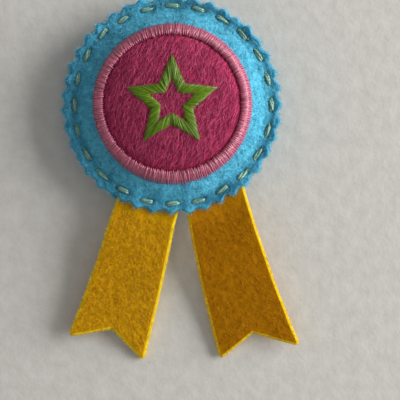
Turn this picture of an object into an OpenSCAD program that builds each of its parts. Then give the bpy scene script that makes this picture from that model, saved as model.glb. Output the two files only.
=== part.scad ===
// Felt award ribbon: a stuffed, pinked rosette head with two felt tails and a brooch on its back.
// It lies face up. +X is to the right, +Y towards the head's top, +Z out of its face.
// The origin is at the centre of the bounding box's base, on the surface that it lies on.

/* [Head] */
// Diameter over the tips of the pinked teeth
head_d = 57; // [50:1:80]
// Number of pinked teeth round each disc
teeth = 40; // [24:2:60]
// Depth of the pinked teeth
tooth_depth = 1.7; // [0.8:0.1:2.4]
// Turn of the back disc's teeth against the front disc's
back_turn = 3.2; // [0:0.1:4.5]
// Height that the stuffing lifts the face above the seam
dome_rise = 5.4; // [3:0.1:8]
// Roundness of the dome: 2 is a plain bowl, more is flatter on top
dome_power = 2.7; // [2:0.1:4]
// Height that the back bulges below the seam
back_rise = 1.2; // [0.6:0.1:2.5]

/* [Felt] */
// Thickness of the loose felt
felt_t = 1.5; // [1:0.1:2]
// Thickness of each felt disc where the seam presses it
rim_t = 1.3; // [1:0.1:1.6]
// Thickness of a tail's tab, pressed inside the seam
tab_t = 1.0; // [0.6:0.1:1.2]
// Thickness of the patch's felt
patch_t = 1.0; // [0.6:0.1:2]
// Thickness of the embroidery backing
backing_t = 0.3; // [0.2:0.05:0.6]

/* [Seam] */
// Distance from the tips of the teeth to the line of stitches
stitch_inset = 3.4; // [3:0.1:5]
// Number of running stitches on the face
stitches = 24; // [16:1:30]
// Diameter of the seam's thread
thread_d = 0.9; // [0.5:0.1:1.2]
// Width of the flat rim inside the line of stitches
rim_inside = 1.7; // [1:0.1:3]
// Diameter of the knot at the back that ends the seam's thread
knot_d = 1.4; // [1:0.1:1.5]

/* [Patch] */
// Outer diameter of the satin border
border_d = 40.6; // [34:0.2:42]
// Width of the satin border
border_w = 3.1; // [2:0.1:5]
// Height of the satin border above the patch
border_h = 0.6; // [0.3:0.1:1.2]
// Width of the border that lies outside the patch's felt
border_over = 0.6; // [0.3:0.1:1]
// Radius of the star over its points
star_r = 12; // [8:0.5:13]
// Radius of the star at its inner corners
star_inner_r = 5.6; // [4:0.1:6.5]
// Width of the star's satin column
star_w = 2.5; // [1.5:0.1:3]
// Height of the star above the patch
star_h = 0.55; // [0.3:0.05:1]

/* [Tails] */
// Width of each tail where it leaves the head
tail_w = 16; // [12:0.5:17]
// Angle by which each side of a tail spreads
tail_flare = 3.6; // [0:0.1:6]
// Angle of each tail from straight down
tail_splay = 16.5; // [14:0.5:24]
// Sideways place of the left tail's axis at the head's centre
left_shift = 1.2; // [-1:0.1:2]
// Sideways place of the right tail's axis at the head's centre
right_shift = 3.6; // [1:0.1:5]
// Length of the left tail's outer tip
left_outer = 34.7; // [25:0.5:50]
// Length of the left tail's inner tip
left_inner = 35.7; // [25:0.5:50]
// Length of the right tail's inner tip
right_inner = 36.5; // [25:0.5:50]
// Length of the right tail's outer tip
right_outer = 38.6; // [25:0.5:50]
// Depth of the notch between a tail's tips
notch = 5.3; // [2:0.1:10]
// Length of a tail that is sewn inside the head
tab_len = 6.8; // [6:0.1:8]
// Cut across the two inner corners of each sewn end, which keeps the tails apart
tab_corner = 2.5; // [2.5:0.1:3.5]

/* [Brooch] */
// Length of the bar
bar_len = 26; // [22:1:30]
// Width of the bar
bar_w = 5; // [4:0.5:7]
// Thickness of the bar
bar_t = 0.7; // [0.5:0.1:1]
// Height of the bar above the head's centre
bar_y = 6; // [0:0.5:8]
// Diameter of the pin's wire
pin_d = 0.9; // [0.7:0.1:1.2]
// Length of the pin's point
pin_point = 3; // [2:0.5:5]
// Diameter of the hinge rivet
rivet_d = 1.2; // [0.9:0.1:1.6]
// Wall of the catch roller
roller_wall = 0.45; // [0.3:0.05:0.8]
// Wall of the catch frame
frame_wall = 0.6; // [0.4:0.1:1]
// Length of the catch frame
frame_len = 3; // [2:0.5:5]
// Diameter of the holes that the bar is sewn through
sew_hole_d = 1.8; // [1.4:0.1:2.2]
// Diameter of the thread that holds the bar
bar_thread_d = 0.5; // [0.3:0.1:0.6]

/* [Hidden] */
$fn = 48;

// Clearances
past = 1; // how far a cut runs beyond what it cuts
thread_clear = 0.02; // bar's thread and the knot in felt, all round
tab_clear = 0.03; // tab in its recess
flex_clear = 0.3; // a tail's bend beyond the teeth
tab_gap = 0.3; // stuffing to the tabs
nose_clear = 0.03; // blade's round nose to its tab
run_clear = 0.05; // turning metal in its hole
catch_room = 0.15; // pin in the roller's bore
slot_room = 0.2; // pin in the catch's slot, each side
eye_room = 0.15; // pin's eye between the ears, each side
flange_room = 0.1; // roller's flanges to the frame's ends
lever_room = 0.3; // roller's lever to the felt
inner_room = 0.05; // stuffing to the pieces round it
knot_room = 0.3; // knot to the back stitches
sew_room = 0.1; // bar's thread to the metal that it passes

// Head
tip_r = head_d / 2;
stitch_r = tip_r - stitch_inset;
flange_r = stitch_r - rim_inside;
rings = 14;
thread_r = thread_d / 2;

// Brooch heights, measured up from the surface that the catch and the hinge rest on
pin_r = pin_d / 2;
roller_bore = pin_r + catch_room;
roller_r = roller_bore + roller_wall;
frame_bore = roller_r + run_clear;
frame_r = frame_bore + frame_wall;
slot_half = pin_r + slot_room;
pin_z = sqrt(frame_r * frame_r - slot_half * slot_half);
frame_neck = 0.15; // gap between the frame's tube and the bar, filled by its neck
bar_z = pin_z + frame_r + frame_neck;
back_z = bar_z + bar_t;
seam_z = back_z + back_rise + rim_t;

// Brooch stations along the bar
bar_x0 = -bar_len / 2;
bar_x1 = bar_len / 2;
hinge_x = bar_x0 + pin_z;
frame_x0 = bar_x1 - frame_len;
flange_len = 0.5;
flange_r_catch = roller_r + 0.35;
lever_w = 0.8;
lever_len = back_z - pin_z - lever_room;
pin_beyond = 0.6; // length of the pin's point that shows past the catch
pin_end = bar_x1 + flange_room + flange_len + lever_w + pin_beyond;
pin_tip_r = 0.08;
neck_w = 2; // width of the neck that joins the catch's tube to the bar
ear_t = 0.6;
eye_wall = 0.6;
eye_r = rivet_d / 2 + run_clear + eye_wall;
eye_half = pin_r + 0.4; // the pin's eye is this much to each side of its middle
ear_gap = 2 * (eye_half + eye_room);
rivet_head_r = rivet_d / 2 + 0.5;
rivet_head_t = 0.4;
sew_x = [bar_x0 + 4.6, 0.6, frame_x0 - 2];
sew_leg = 1; // depth that the bar's thread goes into the back felt

// Sewing of the bar: each hole holds two stitches, one over each edge of the bar
sew_out = bar_w / 2 + bar_thread_d / 2 + sew_room;
sew_in = sew_hole_d / 2 - bar_thread_d / 2 - sew_room;
sew_z = bar_z - bar_thread_d / 2;

// Surfaces of the head, as straight steps between the same rings everywhere
function dome(r) = dome_rise * (1 - pow(r / flange_r, dome_power));
DOME = [for (i = [0:rings]) [flange_r * i / rings, dome(flange_r * i / rings)]];
function surf(r) = lookup(min(r, flange_r), DOME);
function skin(r) = rim_t + (felt_t - rim_t) * surf(r) / dome_rise;
function front_low(r) = seam_z + surf(r);
function front_top(r) = front_low(r) + skin(r);
function patch_top(r) = front_top(r) + patch_t;
function backing_low(r) = front_low(r) - backing_t;
function between(a, b) = concat([a], [for (p = DOME) if (p[0] > a + 0.01 && p[0] < b - 0.01) p[0]], [b]);
function back_to_front(list) = [for (i = [len(list) - 1:-1:0]) list[i]];

// The back stays flat behind the bar and rises to the seam beyond it
flat_margin = 0.4;
back_flat_r = norm([bar_len / 2, bar_y + bar_w / 2]) + flat_margin;
back_steps = 6;
function ease(s) = s * s * (3 - 2 * s);
BACK = concat([[0, back_z]],
    [for (i = [0:back_steps]) let (s = i / back_steps)
        [back_flat_r + (flange_r - back_flat_r) * s, back_z + back_rise * ease(s)]]);
function back_low(r) = lookup(r, BACK);
function back_between(b) = concat([for (p = BACK) if (p[0] < b - 0.01) p[0]], [b]);

// Patch
border_r = border_d / 2;
border_edge = 0.02; // height of the border's edges above what they lie on
patch_r = border_r - border_over;
border_in = border_r - border_w;
backing_r = border_r + 0.5;
bobbin_inset = 0.4; // the bobbin's thread is narrower than the satin above it by this at each edge
bobbin_t = 0.2;
tab_in_r = tip_r - tab_len;
stuffing_r = tab_in_r - tab_gap;

// Tails. Along a tail, distances are counted from its axis's place at the head's centre.
hinge_r = tip_r + felt_t / 2 + flex_clear;
function hinge_at(shift, splay) = hinge_r - shift * sin(splay);
function tab_start(shift, splay) = tab_in_r - shift * sin(splay);
function slope_of(len) = asin(seam_z / norm([len, felt_t / 2])) - atan(felt_t / 2 / len);
function half_w(s) = tail_w / 2 + s * tan(tail_flare);
// A point of a sloping tail's upper face in plan: s along the blade, v across it
function plan(shift, splay, slope, s, v) =
    let (u = hinge_at(shift, splay) + s * cos(slope) + felt_t / 2 * sin(slope))
    [shift + u * sin(splay) + v * cos(splay), -u * cos(splay) + v * sin(splay)];

left_slope = slope_of(max(left_outer, left_inner));
right_slope = slope_of(max(right_outer, right_inner));
TIPS = [plan(left_shift, -tail_splay, left_slope, left_outer, -half_w(left_outer)),
    plan(left_shift, -tail_splay, left_slope, left_inner, half_w(left_inner)),
    plan(right_shift, tail_splay, right_slope, right_inner, -half_w(right_inner)),
    plan(right_shift, tail_splay, right_slope, right_outer, half_w(right_outer))];
low_x = min(-tip_r, min([for (p = TIPS) p[0]]));
high_x = max(tip_r, max([for (p = TIPS) p[0]]));
low_y = min([for (p = TIPS) p[1]]);
head_x = -(low_x + high_x) / 2;
head_y = -(low_y + tip_r) / 2;

// The knot's place, beside a back stitch and towards the head's centre
knot_r = knot_d / 2;
knot_at = stitch_r - thread_r - knot_r - knot_room;

// Stitch arcs: each half of a wave through both discs, its crest half sunk in the felt
step = 360 / stitches;
chord = 2 * stitch_r * sin(step / 4);
arc_r = (chord * chord / 4 + rim_t * rim_t) / (2 * rim_t);
arc_half = asin(chord / 2 / arc_r);

module at_head() {
    translate([head_x, head_y, 0]) children();
}

module at_bar() {
    translate([head_x, head_y + bar_y, 0]) children();
}

// A tail's own frame: X across it, Y down it from the head's centre
module at_tail(shift, splay) {
    translate([head_x + shift, head_y, 0]) rotate([0, 0, 180 + splay]) mirror([1, 0, 0]) children();
}

module pinked_disc(turn) {
    points = [for (i = [0:2 * teeth - 1])
        let (r = i % 2 == 0 ? tip_r : tip_r - tooth_depth, a = turn + i * 180 / teeth)
        [r * cos(a), r * sin(a)]];
    polygon(points);
}

// One crest of thread at angle a, of radius r
module crest(a, r, up) {
    mid_r = stitch_r * cos(step / 4);
    rotate([0, 0, a]) translate([mid_r, 0, seam_z + up * (rim_t - arc_r)])
        rotate([90, 0, 90])
            rotate([0, 0, up * 90 - arc_half])
                rotate_extrude(angle = 2 * arc_half) translate([arc_r, 0]) circle(r = r, $fn = 20);
}

module crests(r, up) {
    turn = up > 0 ? 0 : step / 2;
    for (i = [0:stitches - 1]) crest(turn + i * step, r, up);
}

// The needle's holes, through everything in the seam
module seam_holes() {
    for (i = [0:2 * stitches - 1])
        rotate([0, 0, (i + 0.5) * step / 2]) translate([stitch_r, 0, seam_z - rim_t - past])
            cylinder(r = thread_r, h = 2 * rim_t + 2 * past, $fn = 20);
}

module tab_outline(shift, splay, grow) {
    y0 = tab_start(shift, splay) - grow;
    y1 = hinge_at(shift, splay) - felt_t / 2 - nose_clear;
    w = tail_w / 2 + grow;
    cut = tab_corner;
    polygon([[-w, y0 + cut], [cut - w, y0], [w - cut, y0], [w, y0 + cut], [w, y1], [-w, y1]]);
}

module tab_solid(shift, splay, grow) {
    at_tail(shift, splay) translate([0, 0, seam_z - tab_t / 2 - grow])
        linear_extrude(tab_t + 2 * grow) tab_outline(shift, splay, grow);
}

module tab_room() {
    tab_solid(left_shift, -tail_splay, tab_clear);
    tab_solid(right_shift, tail_splay, tab_clear);
}

module front_felt() {
    color("deepskyblue") difference() {
        intersection() {
            rs = concat(between(0, flange_r), [tip_r + past]);
            at_head() rotate_extrude($fn = 96) polygon(concat([for (r = rs) [r, front_low(r)]],
                [for (r = back_to_front(rs)) [r, front_top(r)]]));
            at_head() translate([0, 0, seam_z - past]) linear_extrude(dome_rise + felt_t + 2 * past)
                pinked_disc(0);
        }
        tab_room();
        at_head() seam_holes();
    }
}

module back_felt() {
    color("deepskyblue") difference() {
        intersection() {
            rs = concat(back_between(flange_r), [tip_r + past]);
            at_head() rotate_extrude($fn = 96) polygon(concat([for (r = rs) [r, back_low(r)]],
                [for (r = back_to_front(rs)) [r, back_low(r) + rim_t]]));
            at_head() translate([0, 0, back_z - past]) linear_extrude(back_rise + rim_t + 2 * past)
                pinked_disc(back_turn);
        }
        tab_room();
        at_head() seam_holes();
        at_bar() bar_thread_legs(bar_thread_d / 2 + thread_clear, bar_z);
        rim_knot_ball(thread_clear);
    }
}

module stuffing() {
    tops = between(0, stuffing_r);
    lows = back_between(stuffing_r);
    drop = backing_t + bobbin_t + inner_room;
    color("whitesmoke") at_head() rotate_extrude($fn = 96)
        polygon(concat([for (r = lows) [r, back_low(r) + rim_t + inner_room]],
            [for (r = back_to_front(tops)) [r, front_low(r) - drop]]));
}

// A thin layer that follows the dome, from one height function to another
module layer(r0, r1, low, top) {
    rs = between(r0, r1);
    rotate_extrude($fn = 96) polygon(concat([for (r = rs) [r, low(r)]],
        [for (r = back_to_front(rs)) [r, top(r)]]));
}

module stabiliser() {
    color("white") at_head() layer(0, backing_r, function (r) backing_low(r), function (r) front_low(r));
}

module star_outline(r, inner) {
    polygon([for (i = [0:9]) let (d = i % 2 == 0 ? r : inner, a = 90 + i * 36) [d * cos(a), d * sin(a)]]);
}

// The star's hollow keeps the column's width square to every edge
module star_ring() {
    edge = norm([star_r - star_inner_r * cos(36), star_inner_r * sin(36)]);
    reach = star_r * star_inner_r * sin(36) / edge;
    share = (reach - star_w) / reach;
    difference() {
        star_outline(star_r, star_inner_r);
        star_outline(star_r * share, star_inner_r * share);
    }
}

module bobbin_stitching() {
    color("ivory") at_head() {
        layer(border_in + bobbin_inset, border_r - bobbin_inset,
            function (r) backing_low(r) - bobbin_t, function (r) backing_low(r));
        intersection() {
            layer(0, star_r + past, function (r) backing_low(r) - bobbin_t, function (r) backing_low(r));
            translate([0, 0, seam_z - past]) linear_extrude(dome_rise + 2 * past) star_ring();
        }
    }
}

module patch_felt() {
    color("mediumvioletred") at_head()
        layer(0, patch_r, function (r) front_top(r), function (r) patch_top(r));
}

// What the border's strands lie on: the patch, and beyond its edge a slope down to the head's felt
function border_base(r) = r > patch_r ? front_top(r) + (border_r - r) / border_over * patch_t
    : patch_top(r);

module patch_border() {
    mid = border_r - border_w / 2;
    bulge_steps = 8;
    crown = [for (i = [0:bulge_steps]) let (a = 180 * i / bulge_steps)
        [mid + border_w / 2 * cos(a), sin(a)]];
    color("palevioletred") at_head() rotate_extrude($fn = 96)
        polygon(concat([for (r = between(border_in, patch_r)) [r, patch_top(r)]],
            [for (r = between(patch_r, border_r)) [r, front_top(r)]],
            [for (p = crown) [p[0], border_base(p[0]) + border_edge + border_h * p[1]]]));
}

module star_motif() {
    color("olivedrab") at_head() intersection() {
        layer(0, star_r + past, function (r) patch_top(r), function (r) patch_top(r) + star_h);
        translate([0, 0, seam_z]) linear_extrude(dome_rise + felt_t + patch_t + star_h + past) star_ring();
    }
}

module rim_stitch_front() {
    color("darkseagreen") at_head() crests(thread_r, 1);
}

module rim_stitch_back() {
    color("darkseagreen") at_head() crests(thread_r, -1);
}

// The knot is half sunk in the back felt
module rim_knot_ball(grow) {
    a = 270 + 1.5 * step;
    at_head() rotate([0, 0, a]) translate([knot_at, 0, seam_z - rim_t]) sphere(r = knot_r + grow, $fn = 24);
}

module rim_knot() {
    color("darkseagreen") rim_knot_ball(0);
}

module tab(shift, splay) {
    color("gold") difference() {
        tab_solid(shift, splay, 0);
        at_head() seam_holes();
    }
}

module blade(shift, splay, outer, inner) {
    slope = slope_of(max(outer, inner));
    notch_s = (outer + inner) / 2 - notch;
    left = splay < 0 ? outer : inner;
    right = splay < 0 ? inner : outer;
    w = half_w(0);
    color("gold") at_tail(shift, splay)
        translate([0, hinge_at(shift, splay), seam_z]) rotate([-slope, 0, 0]) {
            translate([0, 0, -felt_t / 2]) linear_extrude(felt_t)
                polygon([[-w, 0], [w, 0], [half_w(right), right], [0, notch_s], [-half_w(left), left]]);
            rotate([0, 90, 0]) translate([0, 0, -w]) cylinder(r = felt_t / 2, h = 2 * w);
        }
}

module left_tail_tab() {
    tab(left_shift, -tail_splay);
}

module left_tail() {
    blade(left_shift, -tail_splay, left_outer, left_inner);
}

module right_tail_tab() {
    tab(right_shift, tail_splay);
}

module right_tail() {
    blade(right_shift, tail_splay, right_outer, right_inner);
}

// A cylinder along X, centred on the pin's line
module along_x(x0, x1, r) {
    translate([x0, 0, pin_z]) rotate([0, 90, 0]) cylinder(r = r, h = x1 - x0);
}

// A cylinder along Y, centred on the hinge's line
module along_y(y0, y1, r) {
    translate([hinge_x, y0, pin_z]) rotate([-90, 0, 0]) cylinder(r = r, h = y1 - y0);
}

module ears() {
    for (side = [-1, 1]) {
        y0 = side > 0 ? ear_gap / 2 : -ear_gap / 2 - ear_t;
        along_y(y0, y0 + ear_t, pin_z);
        translate([hinge_x - pin_z, y0, pin_z]) cube([2 * pin_z, ear_t, bar_z - pin_z + bar_t / 2]);
    }
}

module catch_slot(x0, x1, deep) {
    translate([x0, -slot_half, pin_z - deep]) cube([x1 - x0, 2 * slot_half, deep]);
}

module brooch_bar() {
    color("silver") at_bar() difference() {
        union() {
            translate([bar_x0, -bar_w / 2, bar_z]) cube([bar_len, bar_w, bar_t]);
            ears();
            along_x(frame_x0, bar_x1, frame_r);
            translate([frame_x0, -neck_w / 2, pin_z + frame_bore])
                cube([frame_len, neck_w, bar_z - pin_z - frame_bore + bar_t / 2]);
        }
        along_x(frame_x0 - past, bar_x1 + past, frame_bore);
        catch_slot(frame_x0 - past, bar_x1 + past, frame_r + past);
        along_y(-bar_w, bar_w, rivet_d / 2);
        for (x = sew_x) translate([x, 0, bar_z - past]) cylinder(d = sew_hole_d, h = bar_t + 2 * past);
    }
}

module hinge_rivet() {
    half = ear_gap / 2 + ear_t;
    color("gray") at_bar() {
        along_y(-half, half, rivet_d / 2);
        along_y(half, half + rivet_head_t, rivet_head_r);
        along_y(-half - rivet_head_t, -half, rivet_head_r);
    }
}

module pin_stem() {
    color("lightgray") at_bar() difference() {
        union() {
            along_y(-eye_half, eye_half, eye_r);
            along_x(hinge_x, pin_end - pin_point, pin_r);
            translate([pin_end - pin_point, 0, pin_z]) rotate([0, 90, 0])
                cylinder(r1 = pin_r, r2 = pin_tip_r, h = pin_point);
        }
        along_y(-bar_w, bar_w, rivet_d / 2 + run_clear);
    }
}

module catch_roller() {
    in_x = frame_x0 - flange_room;
    out_x = bar_x1 + flange_room;
    end_x = out_x + flange_len + lever_w;
    color("darkgray") at_bar() difference() {
        union() {
            along_x(in_x - flange_len, end_x, roller_r);
            along_x(in_x - flange_len, in_x, flange_r_catch);
            along_x(out_x, out_x + flange_len, flange_r_catch);
            translate([out_x + flange_len / 2, 0, pin_z - lever_w / 2])
                cube([flange_len / 2 + lever_w, lever_len, lever_w]);
        }
        along_x(in_x - flange_len - past, end_x + past, roller_bore);
        catch_slot(in_x - flange_len - past, end_x + past, frame_r + past);
    }
}

// The two legs of every stitch that holds the bar, from height z0 into the back felt
module bar_thread_legs(r, z0) {
    for (x = sew_x, side = [-1, 1], y = [sew_in, sew_out])
        translate([x, side * y, z0]) cylinder(r = r, h = back_z + sew_leg - z0, $fn = 20);
}

// The legs are a hair thinner than the run between them, so no two curved faces coincide
module bar_stitches() {
    r = bar_thread_d / 2;
    run = sew_out - sew_in + 2 * r;
    color("cornflowerblue") at_bar() {
        for (x = sew_x, side = [-1, 1])
            translate([x, side * (sew_in + sew_out) / 2 - run / 2, sew_z]) rotate([-90, 0, 0])
                cylinder(r = r, h = run, $fn = 20);
        bar_thread_legs(r - 0.005, sew_z);
    }
}

front_felt();
back_felt();
stuffing();
stabiliser();
bobbin_stitching();
patch_felt();
patch_border();
star_motif();
rim_stitch_front();
rim_stitch_back();
rim_knot();
left_tail_tab();
left_tail();
right_tail_tab();
right_tail();
brooch_bar();
hinge_rivet();
pin_stem();
catch_roller();
bar_stitches();
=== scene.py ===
import math

import bmesh
import bpy
import numpy as np
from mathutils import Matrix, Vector


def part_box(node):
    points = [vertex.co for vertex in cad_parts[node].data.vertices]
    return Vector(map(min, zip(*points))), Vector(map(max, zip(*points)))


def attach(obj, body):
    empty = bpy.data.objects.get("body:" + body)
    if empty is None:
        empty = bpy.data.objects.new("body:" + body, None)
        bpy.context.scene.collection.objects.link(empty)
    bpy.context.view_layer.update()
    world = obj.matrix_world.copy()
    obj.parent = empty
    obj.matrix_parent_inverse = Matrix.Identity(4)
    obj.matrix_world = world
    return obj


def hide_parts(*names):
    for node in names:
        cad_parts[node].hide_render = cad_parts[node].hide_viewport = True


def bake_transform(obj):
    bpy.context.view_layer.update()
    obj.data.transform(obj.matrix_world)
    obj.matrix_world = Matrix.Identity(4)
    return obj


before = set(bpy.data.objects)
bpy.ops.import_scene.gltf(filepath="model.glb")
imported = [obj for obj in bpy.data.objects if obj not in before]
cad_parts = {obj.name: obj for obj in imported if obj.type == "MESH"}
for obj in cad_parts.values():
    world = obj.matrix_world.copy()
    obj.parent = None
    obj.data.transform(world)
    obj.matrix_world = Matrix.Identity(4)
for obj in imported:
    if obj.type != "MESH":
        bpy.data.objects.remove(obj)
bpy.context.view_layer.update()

# The felt award ribbon's looks. Shapes are worked out in millimetres from the head's centre in plan,
# with heights from the surface that it lies on, and become metres in the row's frame in make_mesh.
MM = 0.001


def span(node):
    low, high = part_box(node)
    return np.array(low) / MM, np.array(high) / MM


# ---------------------------------------------------------------- sizes, from the frame
FRONT_LOW, FRONT_HIGH = span("front_felt")
TAB_LOW, TAB_HIGH = span("left_tail_tab")
HEAD = (FRONT_LOW + FRONT_HIGH)[:2] / 2
TIP_R = (FRONT_HIGH - FRONT_LOW)[0] / 2
SEAM_Z = (TAB_LOW + TAB_HIGH)[2] / 2
BACK_Z = span("back_felt")[0][2]
BORDER_R = (span("patch_border")[1] - span("patch_border")[0])[0] / 2
BAR_LOW, BAR_HIGH = span("brooch_bar")

# Sizes that the frame's boxes don't give, the same as the CAD's
FELT_T = 1.5
RIM_T = 1.3
TAB_T = 1.0
PATCH_T = 1.0
TEETH = 40
TOOTH_DEPTH = 1.7
BACK_TURN = math.radians(3.2)
STITCHES = 24
STITCH_STEP = 2 * math.pi / STITCHES
STITCH_R = TIP_R - 3.4
FLANGE_R = STITCH_R - 1.7
DOME_POWER = 2.7
DOME_RISE = FRONT_HIGH[2] - FELT_T - SEAM_Z
BACK_RISE = SEAM_Z - RIM_T - BACK_Z
BACK_FLAT_R = 15.9
BORDER_W = 3.1
PATCH_R = BORDER_R - 0.6
STAR_R = 12.0
STAR_INNER_R = 5.6
STAR_W = 2.5
TAIL_W = 16.0
TAIL_FLARE = math.radians(3.6)
TAIL_SPLAY = math.radians(16.5)
TAB_IN_R = TIP_R - 6.8
TAIL_BEND_R = TIP_R + FELT_T / 2 + 0.3
NOTCH = 5.3
SEW_X = np.array([-13 + 4.6, 0.6, 10 - 2.0])  # the bar's sewing holes, from its middle
BAR_HOLE_R = 0.9
BAR_T = 0.7

# Sizes that only the looks have
BACK_SHIFT = (-0.7, 0.2)  # how far the back disc was sewn out of line with the front one
DISC_ROUND = 0.52  # how far in from its cut edge a disc's face starts to round over
TAIL_ROUND = 0.65  # the same for a tail
TAIL_TILT = math.tan(math.radians(7.0))  # slope across each tail, whose outer edge stands higher
PATCH_GRAIN = math.radians(63)  # the way that most of the patch's fibres lie
FRONT_DENT, BACK_DENT = 0.85, 0.5  # how deep the stitches pull the felts in
WALL_STEPS = 7  # bands from the top to the bottom of a cut edge

# ---------------------------------------------------------------- small tools


def smooth(a, b, x):
    t = np.clip((x - a) / (b - a), 0, 1)
    return t * t * (3 - 2 * t)


def hashed(i, j, k, seed):
    """An even random number from -1 to 1 for each cell of a grid."""
    h = (i * 73856093) ^ (j * 19349663) ^ (k * 83492791) ^ (seed * 2654435761)
    h = (h ^ (h >> 13)) * 1274126177
    h = (h ^ (h >> 16)) & 0xFFFF
    return h / 32767.5 - 1


def noise(p, scale, seed=1):
    """Smooth value noise from -1 to 1 at the points p, with lumps of about 1 / scale."""
    q = np.asarray(p, float) * scale + seed * 11.7
    cell = np.floor(q).astype(np.int64)
    f = q - cell
    f = f * f * (3 - 2 * f)
    total = np.zeros(q.shape[:-1])
    for corner in np.ndindex(2, 2, 2):
        w = [f[..., i] if c else 1 - f[..., i] for i, c in enumerate(corner)]
        at = [cell[..., i] + c for i, c in enumerate(corner)]
        total += w[0] * w[1] * w[2] * hashed(*at, seed)
    return total


def lumpy(base, p, seed, *layers):
    """base plus layers of noise at the points p. A layer is its height and scale, and has the next seed."""
    for i, (height, scale) in enumerate(layers):
        base = base + height * noise(p, scale, seed + i)
    return base


def points3(x, y, z=0.0):
    """Points from plan coordinates and heights, or one height for all."""
    return np.stack([x, y, np.broadcast_to(z, np.shape(x))], -1)


def polar(r, a):
    return np.stack([r * np.cos(a), r * np.sin(a)], -1)


def ring_angles(count):
    return np.arange(count) * 2 * math.pi / count


def make_mesh(name, verts, parts, material, at_head=True):
    """A smooth mesh from points in millimetres and arrays of faces' corners."""
    v = np.array(verts, float)
    if at_head:
        v = v + np.array([HEAD[0], HEAD[1], 0])
    mesh = bpy.data.meshes.new(name)
    mesh.from_pydata((v * MM).tolist(), [], [face for part in parts for face in part.tolist()])
    mesh.polygons.foreach_set("use_smooth", np.ones(len(mesh.polygons), bool))
    mesh.update()
    mesh.materials.append(material)
    obj = bpy.data.objects.new(name, mesh)
    bpy.context.scene.collection.objects.link(obj)
    return obj


def grid_faces(rows, cols, start=0, closed=True):
    """Quads of a grid of rows x cols points, whose columns join up where closed."""
    last = cols if closed else cols - 1
    r = np.arange(rows - 1)[:, None]
    c = np.arange(last)[None, :]
    a = start + r * cols + c
    b = start + r * cols + (c + 1) % cols
    return np.stack([a, b, b + cols, a + cols], -1).reshape(-1, 4)


def capped_faces(rows, cols):
    """Outward quads of a stack of rings, and the fans that close it round its last two points."""
    j = np.arange(cols)
    after = (j + 1) % cols
    last = (rows - 1) * cols
    first_cap = np.stack([np.full(cols, rows * cols), j, after], -1)
    last_cap = np.stack([np.full(cols, rows * cols + 1), last + after, last + j], -1)
    return [grid_faces(rows, cols)[:, ::-1], np.concatenate([first_cap, last_cap])]


def looped_faces(rows, cols):
    """Quads of a stack of rings whose last ring joins up with the first."""
    j = np.arange(cols)
    after = (j + 1) % cols
    last = (rows - 1) * cols
    return np.concatenate([grid_faces(rows, cols), np.stack([last + j, last + after, after, j], -1)])


def sides_along(path):
    """Two unit side vectors along each path of points, (n, k, 3)."""
    tangent = np.gradient(path, axis=-2)
    tangent /= np.linalg.norm(tangent, axis=-1, keepdims=True) + 1e-12
    up = np.zeros_like(tangent)
    up[..., 2] = 1.0
    upright = np.abs((tangent * up).sum(-1)) > 0.95
    up[upright] = (1.0, 0.0, 0.0)
    side = np.cross(tangent, up)
    side /= np.linalg.norm(side, axis=-1, keepdims=True) + 1e-12
    return side, np.cross(side, tangent)


def tubes(paths, radius, sides, groove=0.0, turns=0.0, plies=3):
    """Closed tubes along many paths, (n, k, 3), with a radius that is a number or (n, k). The groove twists
    round each tube as its plies do. Returns points and arrays of faces."""
    n, k, _ = paths.shape
    side, up = sides_along(paths)
    radius = np.broadcast_to(np.asarray(radius, float), (n, k))
    angle = ring_angles(sides)
    along = np.linspace(0, 1, k)
    swell = 1 + groove * np.cos(plies * angle[None, :] + 2 * math.pi * turns * along[:, None])
    ring = (
        side[:, :, None, :] * np.cos(angle)[None, None, :, None]
        + up[:, :, None, :] * np.sin(angle)[None, None, :, None]
    )
    points = paths[:, :, None, :] + ring * (radius[:, :, None] * swell[None])[..., None]
    points = np.concatenate([points.reshape(n, k * sides, 3), paths[:, :1], paths[:, -1:]], 1)
    shift = (np.arange(n) * (k * sides + 2))[:, None, None]
    parts = [(part[None] + shift).reshape(-1, part.shape[1]) for part in capped_faces(k, sides)]
    return points.reshape(-1, 3), parts


def plied(paths, spread, turns, phases, plies):
    """The paths of the plies that twist round each path of points. spread is (n, k), and turns and
    phases are (n,)."""
    side, up = sides_along(paths)
    along = np.linspace(0, 1, paths.shape[1])[None, :]
    out = []
    for ply in range(plies):
        angle = phases[:, None] + 2 * math.pi * (ply / plies + turns[:, None] * along)
        turned = side * np.cos(angle)[..., None] + up * np.sin(angle)[..., None]
        out.append(paths + spread[..., None] * turned)
    return np.concatenate(out)


def with_bed(tube_part, bed, bed_faces):
    """Tubes and the bed that they lie on as one mesh, whose faces start with the tubes'."""
    points, parts = tube_part
    return np.concatenate([points, bed]), parts + [bed_faces + len(points)]


def cut_wall(top, bottom, outward, roundness, corner, seed, *layers):
    """Lines of points between a felt's top and bottom edges: its cut edge, soft-cornered and rough."""
    walls = []
    for i in range(1, WALL_STEPS):
        f = i / WALL_STEPS
        p = top * (1 - f) + bottom * f
        bulge = lumpy(math.sin(math.pi * f) ** corner * roundness, p, seed, *layers)
        walls.append(np.concatenate([p[:, :2] + outward * bulge[:, None], p[:, 2:]], -1))
    return np.stack(walls)


# ---------------------------------------------------------------- surfaces of the head


def dome(r):
    return DOME_RISE * (1 - (np.minimum(r, FLANGE_R) / FLANGE_R) ** DOME_POWER)


def front_low(r):
    return SEAM_Z + dome(r)


def front_thick(r):
    return RIM_T + (FELT_T - RIM_T) * dome(r) / DOME_RISE


def back_low(r):
    return BACK_Z + BACK_RISE * smooth(BACK_FLAT_R, FLANGE_R, r)


def back_thick(r):
    return np.full_like(r, RIM_T)


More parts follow.
